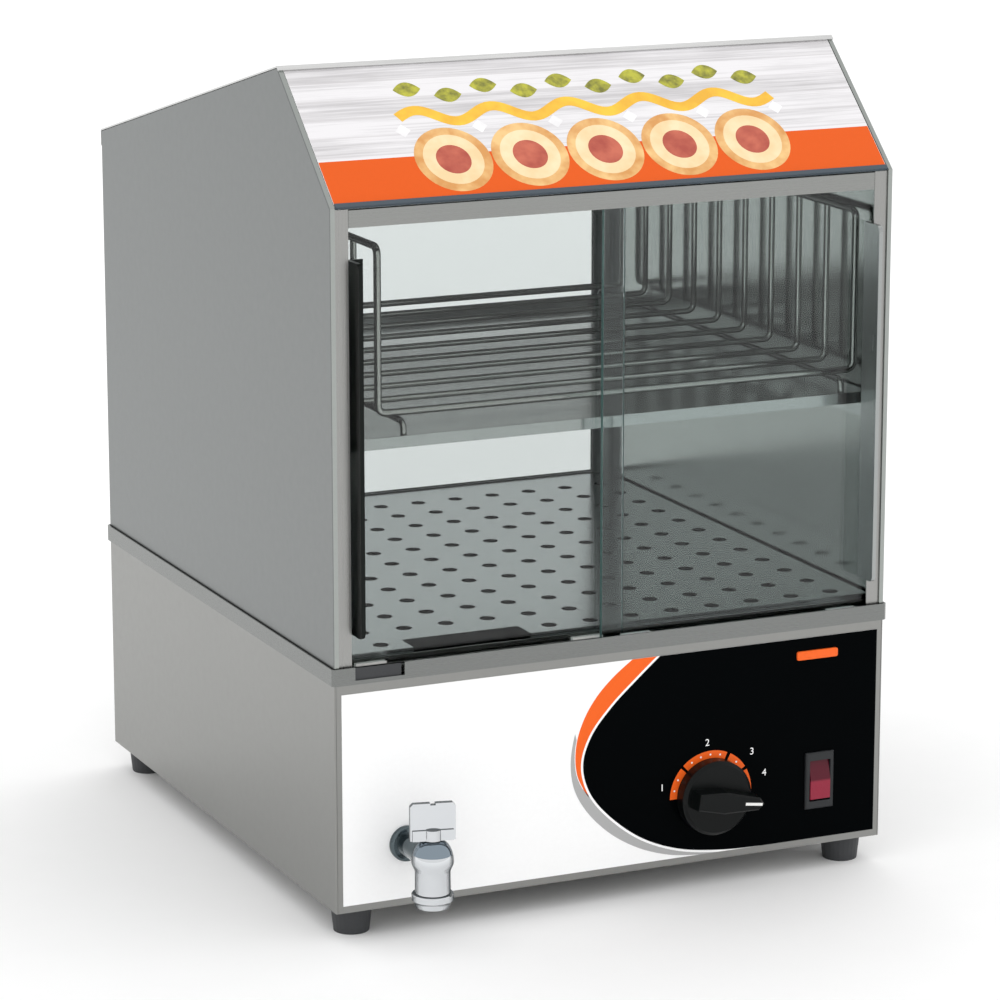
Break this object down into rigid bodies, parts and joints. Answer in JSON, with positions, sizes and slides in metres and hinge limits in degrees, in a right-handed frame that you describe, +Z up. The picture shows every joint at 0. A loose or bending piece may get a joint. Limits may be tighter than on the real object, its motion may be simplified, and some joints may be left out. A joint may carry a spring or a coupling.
{
  "type": "countertop hot dog steamer",
  "caption": "Countertop hot dog steamer: stainless base with water tank, knob, switch and drain tap under a glazed cabinet with sliding doors, bun rack and sloping sign.",
  "frame": {"origin": "on the worktop, under the middle of the whole object's box, tap included", "axes": "+X to the right seen from the front, +Y to the rear, +Z up"},
  "size_m": [0.3784, 0.4564, 0.5216],
  "materials": {
    "stainless": "satin",
    "dark_steel": "darkened by heat",
    "glass": "clear",
    "chrome": "polished",
    "brass": "plain",
    "copper": "plain",
    "black_plastic": "fine texture",
    "white_plastic": "plain",
    "rubber_black": "matt",
    "seal_grey": "matt",
    "label_film": "printed film",
    "sign_film": "printed film",
    "dark_trim": "plain",
    "aluminium_trim": "satin",
    "red_rocker": "smooth",
    "amber_lens": "clear"
  },
  "bodies": {
    "cabinet": {"base_left_panel": "stainless", "base_right_panel": "stainless", "base_front_panel": "stainless", "base_rear_panel": "stainless", "base_bottom_plate": "stainless", "foot_front_left": "rubber_black", "foot_front_right": "rubber_black", "foot_rear_left": "rubber_black", "foot_rear_right": "rubber_black", "foot_screws": "stainless", "front_label": "label_film", "ledge_frame": "stainless", "water_tank": "stainless", "drain_pipe": "brass", "drain_locknut": "brass", "drain_collar": "chrome", "tap_body": "chrome", "tap_nozzle": "chrome", "heating_element": "dark_steel", "element_clamps": "stainless", "clamp_studs": "stainless", "low_water_sensor": "stainless", "thermostat_body": "white_plastic", "thermostat_screws": "stainless", "thermostat_bulb": "copper", "switch_housing": "black_plastic", "indicator_lens": "amber_lens", "indicator_lamp": "white_plastic", "cord_gland": "black_plastic", "terminal_block": "white_plastic", "lower_track": "stainless", "upper_track": "stainless", "left_front_post": "stainless", "right_front_post": "stainless", "front_header": "stainless", "left_side_panel": "stainless", "right_side_panel": "stainless", "roof_panel": "stainless", "sign_backing": "stainless", "sign_face": "sign_film", "sign_retainer": "dark_trim", "rear_frame": "stainless", "rear_glass": "glass", "rear_glass_seal": "seal_grey", "shelf_ledges": "stainless"},
    "left_door": {"left_door_glass": "glass", "left_door_glides": "white_plastic", "left_door_handle": "aluminium_trim"},
    "right_door": {"right_door_glass": "glass", "right_door_glides": "white_plastic", "right_door_handle": "aluminium_trim"},
    "thermostat_knob": {"thermostat_shaft": "stainless", "control_knob": "black_plastic", "knob_pointer": "white_plastic"},
    "power_rocker": {"switch_rocker": "red_rocker"},
    "drain_handle": {"tap_stem": "chrome", "tap_handle": "chrome"},
    "shelf": {"bun_shelf": "stainless"},
    "rack": {"bun_rack": "dark_steel"},
    "floor_tray": {"perforated_tray": "stainless"}
  },
  "joints": [
    {"name": "left_door_slide", "type": "slide", "parent": "cabinet", "child": "left_door", "axis": [1, 0, 0], "range_m": [0, 0.16]},
    {"name": "right_door_slide", "type": "slide", "parent": "cabinet", "child": "right_door", "axis": [1, 0, 0], "range_m": [-0.16, 0]},
    {"name": "thermostat_turn", "type": "hinge", "parent": "cabinet", "child": "thermostat_knob", "pos_m": [0.0658, -0.17685, 0.0605], "axis": [0, -1, 0], "range_deg": [0, 200]},
    {"name": "power_press", "type": "hinge", "parent": "cabinet", "child": "power_rocker", "pos_m": [0.1425, -0.17335, 0.0605], "axis": [1, 0, 0], "range_deg": [0, 14]},
    {"name": "drain_turn", "type": "hinge", "parent": "cabinet", "child": "drain_handle", "pos_m": [-0.1415, -0.21545, 0.0569], "axis": [0, 0, 1], "range_deg": [0, 103.5]},
    {"name": "shelf_lift", "type": "slide", "parent": "cabinet", "child": "shelf", "axis": [0, 0, 1], "range_m": [0, 0.012]},
    {"name": "rack_lift", "type": "slide", "parent": "shelf", "child": "rack", "axis": [0, 0, 1], "range_m": [0, 0.015]},
    {"name": "floor_tray_lift", "type": "slide", "parent": "cabinet", "child": "floor_tray", "axis": [0, 0, 1], "range_m": [0, 0.06]}
  ]
}
